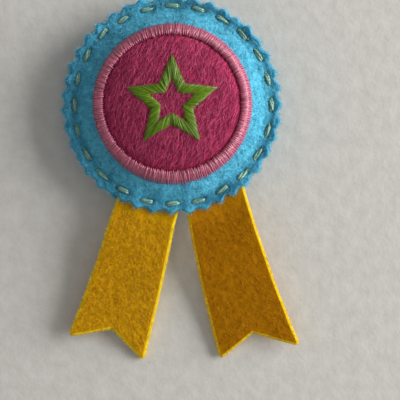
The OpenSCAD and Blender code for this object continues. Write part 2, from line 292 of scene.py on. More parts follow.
def rim_wave(r, a):
    """How far the hand-sewn rim waves up and down outside its stitches, both discs and the tails together."""
    p = points3(1.9 * np.cos(a), 1.9 * np.sin(a))
    return lumpy(0, p, 14, (0.50, 1.6), (0.30, 4.2)) * smooth(STITCH_R - 0.5, TIP_R, r)


def tail_lift(x, y):
    """How much the tails' tabs hold the two discs apart at a point of the rim, from 0 to 1."""
    lift = np.zeros_like(x)
    for tail in TAILS.values():
        u, v = tail["across"](x, y)
        over = smooth(TAIL_W / 2 + 2.0, TAIL_W / 2 - 0.8, np.abs(u))
        lift = np.maximum(lift, over * smooth(TAB_IN_R - 3, TAB_IN_R, v))
    return lift


def stitch_marks(r, a, turn, depth, seed):
    """Depth of the dents that the stitches on one face pull into the felt."""
    k = np.round((a - turn) / STITCH_STEP)
    local = (a - turn - k * STITCH_STEP) * STITCH_R
    half = STITCH_STEP * STITCH_R / 4
    pull = 0.8 + 0.35 * hashed(k.astype(np.int64) % STITCHES, 3, 5, seed)
    across = (r - STITCH_R) / 1.25
    along = np.maximum(np.abs(local) - half * 0.55, 0) / 0.9
    dent = np.exp(-(across**2) - along**2)
    hole = np.exp(-(((np.abs(local) - half) / 0.42) ** 2) - ((r - STITCH_R) / 0.45) ** 2)
    groove = np.exp(-(((r - STITCH_R) / 1.0) ** 2))
    return depth * (pull * (dent + 0.8 * hole) + 0.34 * groove)


# ---------------------------------------------------------------- the tails' own places


def tail_place(shift, sign, outer, inner):
    """A tail's axis through (shift, 0), turned sign x TAIL_SPLAY from straight down, with its lengths."""
    a = sign * TAIL_SPLAY
    down = np.array([math.sin(a), -math.cos(a)])
    cross = np.array([math.cos(a), math.sin(a)])

    def across(x, y):
        dx = x - shift
        return dx * cross[0] + y * cross[1], dx * down[0] + y * down[1]

    length = max(outer, inner)
    slope = math.asin(SEAM_Z / math.hypot(length, FELT_T / 2)) - math.atan(FELT_T / 2 / length)
    return {
        "sign": sign,
        "shift": shift,
        "down": down,
        "cross": cross,
        "hinge": TAIL_BEND_R - shift * math.sin(a),
        "across": across,
        "slope": slope,
        "left_len": outer if sign < 0 else inner,
        "right_len": inner if sign < 0 else outer,
    }


TAILS = {"left": tail_place(1.2, -1, 34.7, 35.7), "right": tail_place(3.6, 1, 38.6, 36.5)}

# ---------------------------------------------------------------- materials


class Shader:
    """A small hand for building one material's nodes."""

    def __init__(self, name):
        self.material = bpy.data.materials.new(name)
        self.material.use_nodes = True
        self.tree = self.material.node_tree
        self.principled = self.tree.nodes["Principled BSDF"]
        self.coords = self.tree.nodes.new("ShaderNodeTexCoord").outputs["Object"]

    def set(self, **values):
        """Sets the shader's own sockets."""
        for key, value in values.items():
            self.principled.inputs[key.replace("_", " ")].default_value = value

    def feed(self, **outputs):
        """Links outputs into the shader's sockets."""
        for key, output in outputs.items():
            self.link(output, self.principled.inputs[key.replace("_", " ")])

    def node(self, kind, **values):
        n = self.tree.nodes.new(kind)
        for key, value in values.items():
            setattr(n, key, value)
        return n

    def link(self, a, b):
        self.tree.links.new(a, b)

    def stretched(self, scale, turn=0.0, squeeze=(1, 1, 1), warp=None):
        """Object coordinates turned and stretched, so that a noise read there runs in streaks."""
        m = self.node("ShaderNodeMapping", vector_type="TEXTURE")
        m.inputs["Rotation"].default_value = (0, 0, turn)
        m.inputs["Scale"].default_value = tuple(1 / (scale * s) for s in squeeze)
        self.link(warp or self.coords, m.inputs["Vector"])
        return m.outputs["Vector"]

    def noise(self, vector, detail=2.0, rough=0.5, scale=1.0, output="Fac"):
        n = self.node("ShaderNodeTexNoise")
        n.inputs["Scale"].default_value = scale
        n.inputs["Detail"].default_value = detail
        n.inputs["Roughness"].default_value = rough
        self.link(vector, n.inputs["Vector"])
        return n.outputs[output]

    def math(self, operation, *values):
        n = self.node("ShaderNodeMath", operation=operation)
        for i, value in enumerate(values):
            if isinstance(value, (int, float)):
                n.inputs[i].default_value = value
            else:
                self.link(value, n.inputs[i])
        return n.outputs[0]

    def sum_of(self, *layers):
        """The sum of outputs, each times its own weight."""
        total = None
        for output, weight in layers:
            part = self.math("MULTIPLY", output, weight)
            total = self.math("ADD", total, part) if total else part
        return total

    def vector_math(self, operation, a, b=None, scale=None):
        n = self.node("ShaderNodeVectorMath", operation=operation)
        self.link(a, n.inputs[0])
        if isinstance(b, tuple):
            n.inputs[1].default_value = b
        elif b:
            self.link(b, n.inputs[1])
        if scale:
            n.inputs["Scale"].default_value = scale
        return n.outputs["Value" if operation == "LENGTH" else "Vector"]

    def nearness(self, centre, r_full, r_none):
        """1 inside r_full of the centre in plan, falling to 0 at r_none."""
        offset = self.vector_math("SUBTRACT", self.coords, centre)
        flat = self.vector_math("MULTIPLY", offset, (1, 1, 0))
        fade = self.node("ShaderNodeMapRange", interpolation_type="SMOOTHSTEP")
        fade.inputs["From Min"].default_value = r_none
        fade.inputs["From Max"].default_value = r_full
        self.link(self.vector_math("LENGTH", flat), fade.inputs["Value"])
        return fade.outputs["Result"]

    def ramp(self, fac, *stops):
        n = self.node("ShaderNodeValToRGB")
        ramp = n.color_ramp
        while len(ramp.elements) < len(stops):
            ramp.elements.new(0.5)
        for element, (place, colour) in zip(ramp.elements, stops):
            element.position = place
            element.color = (*colour, 1)
        self.link(fac, n.inputs["Fac"])
        return n.outputs["Color"]

    def bump(self, height, strength, distance):
        n = self.node("ShaderNodeBump")
        n.inputs["Strength"].default_value = strength
        n.inputs["Distance"].default_value = distance
        self.link(height, n.inputs["Height"])
        self.feed(Normal=n.outputs["Normal"])


def shade(colour, by):
    return tuple(min(1.0, c * by) for c in colour)


def felt(name, colour, turn, sheen, contrast, grain=None, painted_dome_light=None):
    """Pressed felt: matted fibres, lying every way from turn on or mostly along the grain, mottled by
    contrast, with a soft fuzzy grazing light. Where the last argument gives a centre and two radii in metres,
    the felt is painted paler inside them: painted light on the stuffed dome, which leaves the rim darker."""
    s = Shader(name)
    swirl = s.noise(s.coords, 1, 0.5, 420, "Color")
    warp = s.vector_math("ADD", s.coords, s.vector_math("SCALE", swirl, scale=0.0016))
    fibres = None
    for i in range(4):
        lie = turn + i * math.pi / 4 if grain is None else grain - math.pi / 2 + 0.22 * (i - 1.5)
        streak = s.noise(s.stretched(1.0, lie, (3200, 520, 900), warp), 2.0, 0.6)
        fibres = s.math("MAXIMUM", fibres, streak) if fibres else streak
    clumps = s.noise(s.stretched(650), 3.0, 0.6)
    broad = s.noise(s.stretched(130), 2.0, 0.5)
    fine = s.noise(s.stretched(4200), 3.0, 0.65)
    layers = ((fibres, 0.9), (clumps, 0.55), (broad, 0.25), (fine, 0.25))
    tone = s.sum_of(*layers)
    level = s.math("DIVIDE", tone, sum(weight for _, weight in layers))
    # Painted light: paler over the stuffed dome, darker at the rim.
    if painted_dome_light:
        level = s.math("ADD", level, s.math("MULTIPLY", s.nearness(*painted_dome_light), 0.10))
    dark = shade(colour, 1 - 0.5 * contrast)
    light = tuple(min(1.0, c * (1 + contrast) + 0.04 * contrast) for c in colour)
    s.feed(Base_Color=s.ramp(level, (0.40, dark), (0.56, colour), (0.72, light)))
    s.set(Roughness=0.95, Sheen_Weight=sheen, Sheen_Roughness=0.45, Sheen_Tint=(*shade(colour, 1.8), 1))
    s.set(Subsurface_Weight=0.35, Subsurface_Radius=colour, Subsurface_Scale=0.0016)
    s.set(Specular_IOR_Level=0.12)
    s.bump(tone, 0.3 + 0.6 * contrast, 0.00032)
    return s.material


def thread(name, colour, rough, sheen, index=1.5):
    """Spun thread with a soft lustre and small changes of tone along it."""
    s = Shader(name)
    tone = s.noise(s.stretched(1500), 3.0, 0.6)
    s.feed(Base_Color=s.ramp(tone, (0.3, shade(colour, 0.7)), (0.55, colour), (0.75, shade(colour, 1.3))))
    s.set(Roughness=rough, Sheen_Weight=sheen, Sheen_Roughness=0.4, IOR=index, Specular_IOR_Level=0.9)
    s.bump(s.noise(s.stretched(6000), 2.0, 0.6), 0.35, 0.00008)
    return s.material


def steel(name, colour, rough):
    """Nickel-plated steel with drawn scratches and a little dullness in patches."""
    s = Shader(name)
    scratches = s.noise(s.stretched(1.0, 0.05, (300, 9000, 9000)), 2.0, 0.5)
    dull = s.noise(s.stretched(420), 3.0, 0.6)
    spread = s.math("ADD", s.math("MULTIPLY", dull, 0.22), rough - 0.08)
    s.feed(Base_Color=s.ramp(dull, (0.35, shade(colour, 0.82)), (0.7, colour)), Roughness=spread)
    s.set(Metallic=1.0)
    s.bump(scratches, 0.25, 0.00003)
    return s.material


def soft_white(name, colour, scale):
    """Loose white fibre, with painted shade: greyer in its hollows, where the bump is low."""
    s = Shader(name)
    tone = s.noise(s.stretched(scale), 4.0, 0.7)
    s.feed(Base_Color=s.ramp(tone, (0.3, shade(colour, 0.8)), (0.7, colour)))
    s.set(Roughness=0.9)
    s.bump(tone, 0.6, 0.0002)
    return s.material


def nap(name, colour, white, fringe):
    """Loose fibres of one felt: three shades, the palest with some white, and last the fringe's, painted pale
    for the light through it.
    """
    mixes = ((0.85, 0.0), (1.25, 0.25), (1.7, 1.0))
    colours = [tuple(min(1.0, c * by + pale * white) for c in colour) for by, pale in mixes] + [fringe]
    shades = []
    for i, fibre in enumerate(colours):
        s = Shader(f"{name}_{i}")
        wear = s.noise(s.stretched(2500), 2.0, 0.5)
        s.feed(Roughness=s.math("ADD", s.math("MULTIPLY", wear, 0.4), 0.45))
        s.set(Base_Color=(*fibre, 1), Specular_IOR_Level=0.25)
        shades.append(s.material)
    return shades


BLUE = (0.068, 0.375, 0.57)
BLUE_FIBRE = (0.09, 0.41, 0.60)
# The discs' cut edges are painted paler than their faces: painted light on the edges.
BLUE_CUT_LIT = (0.075, 0.41, 0.63)
# Pale fibres of the discs' fringe: painted light, for the light that comes through them.
BLUE_FRINGE_LIT = (0.20, 0.62, 0.84)
MAGENTA = (0.54, 0.029, 0.135)
MAGENTA_FIBRE = (0.52, 0.058, 0.17)
YELLOW = (0.645, 0.335, 0.0012)
# The right tail's yellow, painted darker and more orange than the left's: painted shade on the same felt.
YELLOW_SHADED = (0.52, 0.215, 0.0005)
# The tails' cut edges are painted far paler and yellower than their faces: a painted highlight where the low
# light strikes them.
YELLOW_CUT_LIT = (0.88, 0.60, 0.012)
# Pale fibres of the tails' fringe: painted light, for the light that comes through them.
YELLOW_FRINGE_LIT = (0.98, 0.80, 0.05)
PINK = (0.66, 0.155, 0.27)
GREEN = (0.14, 0.265, 0.004)
SAGE = (0.26, 0.50, 0.38)

# Where the front felt is painted paler: painted light on the stuffed dome, darker towards the rim.
PAINTED_DOME_LIGHT = ((*(HEAD * MM), 0.0), (FLANGE_R - 0.5) * MM, (STITCH_R + 0.3) * MM)

MATERIALS = {
    "blue": felt("blue_felt", BLUE, 0.3, 0.4, 0.85, painted_dome_light=PAINTED_DOME_LIGHT),
    "blue_cut_lit": felt("blue_felt_cut_painted_light", BLUE_CUT_LIT, 0.9, 0.5, 0.5),
    "magenta": felt("magenta_felt", MAGENTA, 1.1, 0.15, 1.3, grain=PATCH_GRAIN),
    "yellow": felt("yellow_felt", YELLOW, 2.0, 0.08, 0.50),
    "yellow_shaded": felt("yellow_felt_painted_shade", YELLOW_SHADED, 3.1, 0.02, 0.15),
    "yellow_cut_lit": felt("yellow_felt_cut_painted_light", YELLOW_CUT_LIT, 0.7, 0.1, 0.30),
    "sage": thread("sage_thread", SAGE, 0.26, 0.25),
    "bobbin": thread("bobbin_thread", (0.75, 0.73, 0.68), 0.6, 0.15),
    "sewing": thread("sewing_thread", (0.05, 0.20, 0.36), 0.5, 0.15),
    "backing": soft_white("backing", (0.82, 0.82, 0.8), 1200),
    "filling": soft_white("filling", (0.88, 0.88, 0.86), 900),
    "steel": steel("bar_steel", (0.62, 0.61, 0.58), 0.32),
    "wire": steel("pin_steel", (0.75, 0.75, 0.74), 0.16),
}
NAP = {
    "blue": nap("blue_nap", BLUE_FIBRE, 0.16, BLUE_FRINGE_LIT),
    "magenta": nap("magenta_nap", MAGENTA_FIBRE, 0.06, MAGENTA_FIBRE),
    "yellow": nap("yellow_nap", YELLOW, 0.03, YELLOW_FRINGE_LIT),
    "yellow_shaded": nap("yellow_nap_painted_shade", YELLOW_SHADED, 0.0, YELLOW_FRINGE_LIT),
}
SATIN = {
    name: [thread(f"{name}_thread_{i}", shade(colour, by), rough, 0.0, index) for i, by in enumerate(shades)]
    for name, colour, shades, rough, index in (
        ("pink", PINK, (0.84, 0.98, 1.14), 0.29, 1.6),
        ("green", GREEN, (0.78, 1.0, 1.25), 0.33, 1.36),
    )
}

# ---------------------------------------------------------------- felt's loose fibres

NAP_STEPS = 5  # points along a fibre
NAP_SIDES = 3
MATTED_BEND = 1.6  # how far, in radians, a matted fibre of blue or yellow felt wanders off its heading


def shade_tubes(obj, shades, pick, steps, sides):
    """Gives the tubes that an object's faces start with one of several shades each."""
    for extra in shades[1:]:
        obj.data.materials.append(extra)
    slots = np.zeros(len(obj.data.polygons), np.int32)
    tube_slots = np.concatenate([np.repeat(pick, (steps - 1) * sides), np.repeat(pick, 2 * sides)])
    slots[: len(tube_slots)] = tube_slots
    obj.data.polygons.foreach_set("material_index", slots)


def nap_mesh(name, paths, radius, shades, seed, fringe=0):
    """One piece of many loose fibres, each a thin closed tube of one of three shades. The last ones, the cut
    edges' fringe, have their own pale shade: painted light, for the light that comes through them."""
    rng = np.random.default_rng(seed)
    n, k, _ = paths.shape
    taper = np.linspace(1.0, 0.45, k)[None, :]
    radii = radius * rng.uniform(0.7, 1.3, n)[:, None] * taper
    obj = make_mesh(name, *tubes(paths, radii, NAP_SIDES), shades[0])
    pick = rng.choice(3, n, p=(0.30, 0.40, 0.30))
    pick[n - fringe :] = rng.choice((2, 3), fringe, p=(0.4, 0.6))
    shade_tubes(obj, shades, pick, k, NAP_SIDES)
    return obj


def fibre_paths(start, heading, length, bend, rng):
    """Curled plan paths from start along heading, (n, k, 2)."""
    n = len(start)
    t = np.linspace(0, 1, NAP_STEPS)[None, :]
    turn = heading[:, None] + bend * rng.normal(0, 1, n)[:, None] * (t - 0.5)
    turn = turn + 0.35 * bend * np.sin(2 * math.pi * (t + rng.uniform(0, 1, n)[:, None]))
    steps = polar((length / (NAP_STEPS - 1))[:, None], turn[:, :-1])
    return start[:, None, :] + np.concatenate([np.zeros((n, 1, 2)), np.cumsum(steps, 1)], 1)


def stand_off(count, lift, rng):
    """Heights along fibres that lie matted on a face: most dive back into it, and some have a free end."""
    t = np.linspace(0, 1, NAP_STEPS)[None, :]
    free = rng.uniform(0, 1, count)[:, None] < 0.3
    rise = lift * rng.uniform(0.4, 1.3, count)[:, None]
    return np.where(free, rise * 1.7 * t**1.3, rise * np.sin(math.pi * t)) - 0.04


def matted(start, heading, length, bend, lift, height, up, rng):
    """Paths of fibres that lie matted on the surface that height(x, y) gives."""
    plan = fibre_paths(start, heading, length, bend, rng)
    above = stand_off(len(start), lift, rng)
    z = height(plan[..., 0].ravel(), plan[..., 1].ravel()).reshape(above.shape)
    return np.concatenate([plan, (z + up * above)[..., None]], -1)


def edge_fibres(top, bottom, outward, count, length, rng):
    """Fibres that stand out of a cut edge, between its top and bottom lines of points."""
    i = rng.integers(0, len(top), count)
    f = rng.uniform(0, 1, count)[:, None]
    base = top[i] * (1 - f) + bottom[i] * f
    out = np.concatenate([outward[i], np.zeros((count, 1))], 1)
    along = np.stack([-out[:, 1], out[:, 0], out[:, 2]], -1)
    aim = out + along * rng.normal(0, 0.6, (count, 1))
    aim[:, 2] += rng.normal(0.15, 0.5, count)
    aim /= np.linalg.norm(aim, axis=1, keepdims=True)
    curl = along * rng.normal(0, 0.5, (count, 1))
    curl[:, 2] += rng.normal(0, 0.35, count)
    t = np.linspace(0, 1, NAP_STEPS)[None, :, None]
    reach = (length * rng.uniform(0.4, 1.3, count))[:, None, None]
    inset = rng.uniform(-0.1, 0.45, count)[:, None, None]
    way = aim[:, None, :] * t + curl[:, None, :] * t * t
    return base[:, None, :] + reach * way + inset * out[:, None, :]


# ---------------------------------------------------------------- felt discs, by cloth simulation

SIM_SCALE = 10.0  # the cloth solver's damping suits pieces of this size
SIM_RINGS = 30
SIM_COLS = 144
SIM_FRAMES = 24
SIM_CAP = 1.3  # how far a point may rise, in millimetres
CLOTH = {
    "quality": 8,
    "mass": 0.25,
    "tension_stiffness": 25,
    "compression_stiffness": 25,
    "shear_stiffness": 12,
    "bending_stiffness": 3.0,
    "air_damping": 1.5,
    "vertex_group_mass": "held",
    "use_pressure": True,
    "shrink_min": -0.045,
    "shrink_max": -0.045,
}


def simulated_disc(name, low, pinned_r, pressure, turn, seed):
    """Blows up one felt disc against its stitches and its stiff middle. Returns how far each point of a polar
    grid rose, in millimetres, capped, and the grid's radii."""
    radii = np.linspace(0, TIP_R - 0.7, SIM_RINGS)[1:]
    r, a = (v.ravel() for v in np.meshgrid(radii, ring_angles(SIM_COLS), indexing="ij"))
    x, y = r * np.cos(a), r * np.sin(a)
    z = low(r) + 0.7
    z = z + 0.05 * noise(points3(x, y, z), 0.25, seed)
    points = np.concatenate([[[0, 0, float(low(np.zeros(1))[0] + 0.7)]], points3(x, y, z)])
    j = np.arange(SIM_COLS)
    faces = grid_faces(SIM_RINGS - 1, SIM_COLS, 1).tolist()
    faces += np.stack([np.zeros(SIM_COLS, int), 1 + j, 1 + (j + 1) % SIM_COLS], -1).tolist()
    mesh = bpy.data.meshes.new(name)
    mesh.from_pydata((points * MM * SIM_SCALE).tolist(), [], faces)
    mesh.update()
    obj = bpy.data.objects.new(name, mesh)
    bpy.context.scene.collection.objects.link(obj)
    off_stitch = np.abs(a - turn - np.round((a - turn) / STITCH_STEP) * STITCH_STEP)
    held = (off_stitch < STITCH_STEP / 4 + 0.01) & (np.abs(r - STITCH_R) < (radii[1] - radii[0]) * 0.6)
    held |= r < pinned_r
    group = obj.vertex_groups.new(name="held")
    group.add([0] + (np.nonzero(held)[0] + 1).tolist(), 1.0, "REPLACE")
    cloth = obj.modifiers.new("cloth", "CLOTH")
    for key, value in CLOTH.items():
        setattr(cloth.settings, key, value)
    cloth.settings.uniform_pressure_force = pressure
    cloth.settings.effector_weights.gravity = 0
    cloth.collision_settings.use_collision = False
    cloth.point_cache.frame_start = 1
    cloth.point_cache.frame_end = SIM_FRAMES
    for f in range(1, SIM_FRAMES + 1):
        bpy.context.scene.frame_set(f)
    settled = obj.evaluated_get(bpy.context.evaluated_depsgraph_get()).to_mesh()
    co = np.zeros(len(settled.vertices) * 3)
    settled.vertices.foreach_get("co", co)
    moved = co.reshape(-1, 3) / (MM * SIM_SCALE) - points
    bpy.data.objects.remove(obj)
    bpy.data.meshes.remove(mesh)
    bpy.context.scene.frame_set(1)
    capped = np.clip(moved[:, 2], -SIM_CAP, SIM_CAP)
    rise = capped[1:].reshape(SIM_RINGS - 1, SIM_COLS)
    for _ in range(3):
        rise = (np.roll(rise, 1, 1) + 2 * rise + np.roll(rise, -1, 1)) / 4
        rise[1:-1] = (rise[:-2] + 2 * rise[1:-1] + rise[2:]) / 4
    centre = np.full((1, SIM_COLS), float(capped[0]))
    return np.concatenate([centre, rise]), np.concatenate([[0.0], radii])


def sampled(grid, r, a):
    """The simulated rise at radius r and angle a, between the grid's points."""
    rise, radii = grid
    row = np.clip(np.interp(r, radii, np.arange(len(radii))), 0, len(radii) - 1.001)
    col = (a % (2 * math.pi)) / (2 * math.pi) * SIM_COLS
    i, j = row.astype(int), col.astype(int) % SIM_COLS
    fr, fc = row - i, col - np.floor(col)
    fr, fc = fr * fr * (3 - 2 * fr), fc * fc * (3 - 2 * fc)
    n = (j + 1) % SIM_COLS
    low = rise[i, j] * (1 - fc) + rise[i, n] * fc
    high = rise[i + 1, j] * (1 - fc) + rise[i + 1, n] * fc
    return low * (1 - fr) + high * fr


front_grid = simulated_disc("front_sim", front_low, BORDER_R - 0.5, 3.0, 0.0, 11)
back_grid = simulated_disc("back_sim", back_low, 17.5, -1.5, STITCH_STEP / 2, 12)


def loft(r):
    """The felt springs back to its full thickness at the teeth, outside the pull of the stitches."""
    return 0.30 * smooth(STITCH_R + 0.4, TIP_R - 0.8, r)


def tab_gap(r, a):
    """How far the tails' tabs push each disc away from the seam."""
    return 0.5 * tail_lift(r * np.cos(a), r * np.sin(a)) * smooth(TAB_IN_R - 2, TAB_IN_R + 1, r)


def front_rise(r, a):
    return sampled(front_grid, r, a) + tab_gap(r, a) + rim_wave(r, a)


def back_rise(r, a):
    return sampled(back_grid, r, a) - tab_gap(r, a) + rim_wave(r, a)


def front_dents(r, a, top):
    """The stitches can't pull the front felt as far down over the tails' tabs as they do beside them."""
    depth = FRONT_DENT * (1 - 0.4 * tail_lift(r * np.cos(a), r * np.sin(a)))
    return loft(r) - stitch_marks(r, a, 0.0, depth, 21) if top else np.zeros_like(r)


def back_dents(r, a, top):
    return np.zeros_like(r) if top else stitch_marks(r, a, STITCH_STEP / 2, BACK_DENT, 22) - loft(r)


def front_height(r, a):
    """Height of the front felt's open face."""
    return front_low(r) + front_thick(r) + front_rise(r, a) + front_dents(r, a, True)


def back_height(r, a):
    """Height of the back felt's open face, which looks down."""
    return back_low(r) + back_rise(r, a) + back_dents(r, a, False)


def pinked_outline(turn, seed, samples=9):
    """Angles and radii round a hand-pinked edge, with a point on every tip and valley."""
    rng = np.random.default_rng(seed)
    pitch = 1 + rng.uniform(-0.14, 0.14, TEETH)
    edges = np.concatenate([[0], np.cumsum(pitch)]) / pitch.sum() * 2 * math.pi
    tip = TIP_R - rng.uniform(0, 0.35, TEETH)
    depth = TOOTH_DEPTH * rng.uniform(1.05, 1.45, TEETH)
    f = np.arange(samples) / samples
    angles, radii = [], []
    for t in range(TEETH):
        next_tip = tip[(t + 1) % TEETH]
        mid = (edges[t] + edges[t + 1]) / 2
        valley = (tip[t] + next_tip) / 2 - depth[t]
        angles += [edges[t] + (mid - edges[t]) * f, mid + (edges[t + 1] - mid) * f]
        radii += [tip[t] + (valley - tip[t]) * f, valley + (next_tip - valley) * f]
    r = np.concatenate(radii)
    for _ in range(18):
        r = (np.roll(r, 1) + 2 * r + np.roll(r, -1)) / 4
    return np.concatenate(angles) + turn, r


def felt_disc(name, low, thick, outline, rise, dents, face_up, shift, seed):
    """A pinked felt disc as a closed mesh: its upper side, its cut edge and its lower side, with the
    simulation's rise, the stitches' dents and the matted surface's own lumps."""
    angles, edge = outline
    cols = len(angles)
    inner_r = TIP_R - TOOTH_DEPTH - 0.9

    def rings(middle, outer, opening):
        """Radii from the middle out, of which the last few open from a circle to the toothed edge."""
        circles = np.concatenate([np.linspace(0.4, 16, middle), np.linspace(16, inner_r, outer)[1:]])
        share = (np.arange(1, opening + 1) / opening)[:, None]
        toothed = inner_r * (1 - share) + (edge - DISC_ROUND) * share
        return np.concatenate([np.repeat(circles[:, None], cols, 1), toothed])

    def skin(rr, top):
        r, a = rr.ravel(), np.broadcast_to(angles, rr.shape).ravel()
        x, y = r * np.cos(a), r * np.sin(a)
        z = low(r) + (thick(r) if top else 0) + rise(r, a) + dents(r, a, top)
        z = lumpy(z, points3(x, y, 3.0 if top else 9.0), seed, (0.09, 0.6), (0.07, 1.7), (0.03, 5))
        return points3(x, y, z).reshape(*rr.shape, 3)

    open_side, inner_side = rings(26, 50, 9), rings(8, 18, 4)
    top = skin(open_side if face_up else inner_side, True)
    bottom = skin(inner_side if face_up else open_side, False)[::-1]
    rough = (0.07, 2.6), (0.06, 6.5)
    walls = cut_wall(top[-1], bottom[0], polar(1, angles), DISC_ROUND, 0.55, seed + 4, *rough)
    zero = np.zeros(1)
    middle_low = low(zero) + rise(zero, zero)
    centres = [[0, 0, (middle_low + thick(zero))[0]], [0, 0, middle_low[0]]]
    verts = np.concatenate([top.reshape(-1, 3), walls.reshape(-1, 3), bottom.reshape(-1, 3), centres])
    verts[:, :2] += shift
    rows = len(top) + len(walls) + len(bottom)
    obj = make_mesh(name, verts, capped_faces(rows, cols), MATERIALS["blue"])
    # The cut edge takes the paler felt: painted light.
    obj.data.materials.append(MATERIALS["blue_cut_lit"])
    on_wall = np.zeros(len(obj.data.polygons), np.int32)
    on_wall[(len(top) - 1) * cols : (len(top) + len(walls)) * cols] = 1
    obj.data.polygons.foreach_set("material_index", on_wall)
    return obj


def ring_starts(count, r0, r1, rng):
    """Points spread evenly over a ring in plan."""
    r = np.sqrt(rng.uniform(r0 * r0, r1 * r1, count))
    return polar(r, rng.uniform(0, 2 * math.pi, count))


def disc_nap(name, height, up, outline, bare_r, shift, seed):
    """The loose fibres of one felt disc: matted ones on its open face, standing ones round its cut edge."""
    rng = np.random.default_rng(seed)
    matted_count, fringe_count = 4600, 1900

    def face(x, y):
        return height(np.hypot(x, y), np.arctan2(y, x))

    start = ring_starts(matted_count, bare_r, TIP_R - 1.6, rng)
    heading = rng.uniform(0, 2 * math.pi, matted_count)
    length = rng.uniform(0.6, 1.7, matted_count)
    paths = matted(start, heading, length, MATTED_BEND, 0.2, face, up, rng)
    angles, radii = outline
    x, y = (radii - 0.1) * np.cos(angles), (radii - 0.1) * np.sin(angles)
    far, near = points3(x, y, face(x, y)), points3(x, y, SEAM_Z + rim_wave(radii, angles))
    fringe = edge_fibres(far, near, polar(1, angles), fringe_count, 0.6, rng)
    paths = np.concatenate([paths, fringe])
    paths[..., :2] += shift
    obj = nap_mesh(name, paths, 0.038, NAP["blue"], seed + 1, fringe_count)
    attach(obj, "head")


def build_discs():
    """Both felt discs and then their loose fibres, which the front one lacks where the patch covers it."""
    outlines = pinked_outline(0.0, 31), pinked_outline(BACK_TURN, 32)
    front = felt_disc(
        "front_felt_cloth", front_low, front_thick, outlines[0], front_rise, front_dents, True, (0, 0), 41
    )
    back = felt_disc(
        "back_felt_cloth", back_low, back_thick, outlines[1], back_rise, back_dents, False, BACK_SHIFT, 42
    )
    disc_nap("front_felt_nap", front_height, 1, outlines[0], BORDER_R - 0.3, (0, 0), 43)
    disc_nap("back_felt_nap", back_height, -1, outlines[1], 0.0, BACK_SHIFT, 45)
    for obj, node in ((front, "front_felt"), (back, "back_felt")):
        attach(obj, "head")
        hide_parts(node)


# ---------------------------------------------------------------- patch, border and motif


def patch_top(r):
    return front_low(r) + front_thick(r) + PATCH_T


def patch_face(x, y):
    """The patch's open face, pulled down where the border's stitches hold it, with lumps along its grain."""
    r = np.hypot(x, y)
    pull = 0.45 * np.exp(-(((r - (BORDER_R - BORDER_W)) / 0.8) ** 2))
    along = x * math.cos(PATCH_GRAIN) + y * math.sin(PATCH_GRAIN)
    across = y * math.cos(PATCH_GRAIN) - x * math.sin(PATCH_GRAIN)
    lumps = lumpy(0, points3(0.4 * along, across), 51, (0.12, 0.8), (0.09, 1.7), (0.06, 3.4))
    return patch_top(r) - pull + lumps


def build_patch():
    cols = 360
    radii = np.linspace(0.35, PATCH_R, 60)
    low_radii = radii[::-6]
    sides = []
    for rings in (radii, low_radii):
        r, a = (v.ravel() for v in np.meshgrid(rings, ring_angles(cols), indexing="ij"))
        x, y = r * np.cos(a), r * np.sin(a)
        z = patch_face(x, y) if rings is radii else patch_top(r) - PATCH_T + 0.02
        sides.append(points3(x, y, z))
    top, bottom = sides
    middles = [[0, 0, top[:cols, 2].mean()], [0, 0, bottom[-cols:, 2].mean()]]
    verts = np.concatenate([top, bottom, middles])
    faces = capped_faces(len(radii) + len(low_radii), cols)
    obj = make_mesh("patch_felt_cloth", verts, faces, MATERIALS["magenta"])
    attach(obj, "head")
    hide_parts("patch_felt")
    rng = np.random.default_rng(54)
    count = 6400
    start = ring_starts(count, 0.0, BORDER_R - BORDER_W - 0.1, rng)
    heading = PATCH_GRAIN + rng.normal(0, 0.38, count) + math.pi * rng.integers(0, 2, count)
    paths = matted(start, heading, rng.uniform(1.2, 3.8, count), 0.6, 0.28, patch_face, 1, rng)
    fuzz = nap_mesh("patch_felt_nap", paths, 0.050, NAP["magenta"], 55)
    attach(fuzz, "head")


SATIN_SIDES = 6
SATIN_STEPS = 13
BORDER_STRANDS = 420
STAR_STRANDS = 30  # on each of the star's ten edges


def satin(ends_a, ends_b, ground, height, thick, roundness, seed):
    """Satin strands from each point of ends_a to its point of ends_b, whose ends dive into the ground. A
    roundness of 2 makes a round ridge, and 4 a flat band with round shoulders."""
    rng = np.random.default_rng(seed)
    n = len(ends_a)
    t = (0.5 - 0.5 * np.cos(math.pi * np.linspace(0, 1, SATIN_STEPS)))[None, :, None]
    flat = ends_a[:, None, :] * (1 - t) + ends_b[:, None, :] * t
    arch = np.sqrt(1 - np.abs(2 * t[..., 0] - 1) ** roundness)
    top = height * rng.uniform(0.72, 1.28, n)[:, None]
    z = ground(flat[..., 0], flat[..., 1]) + top * arch - 0.28 * (1 - arch)
    radius = thick * rng.uniform(0.88, 1.12, n)[:, None] * (0.75 + 0.25 * arch)
    return tubes(np.concatenate([flat, z[..., None]], -1), radius, SATIN_SIDES)


def satin_piece(name, strands, bed, bed_faces, shades, seed):
    """Satin strands and the bed under them as one piece, each strand in one of the shades."""
    verts, parts = with_bed(strands, np.concatenate(bed), bed_faces)
    # The bed keeps the darkest shade: painted shade in the gaps between the strands.
    obj = make_mesh(name, verts, parts, shades[0])
    count = len(strands[0]) // (SATIN_STEPS * SATIN_SIDES + 2)
    pick = np.random.default_rng(seed).choice(len(shades), count, p=(0.3, 0.45, 0.25))
    shade_tubes(obj, shades, pick, SATIN_STEPS, SATIN_SIDES)
    return obj


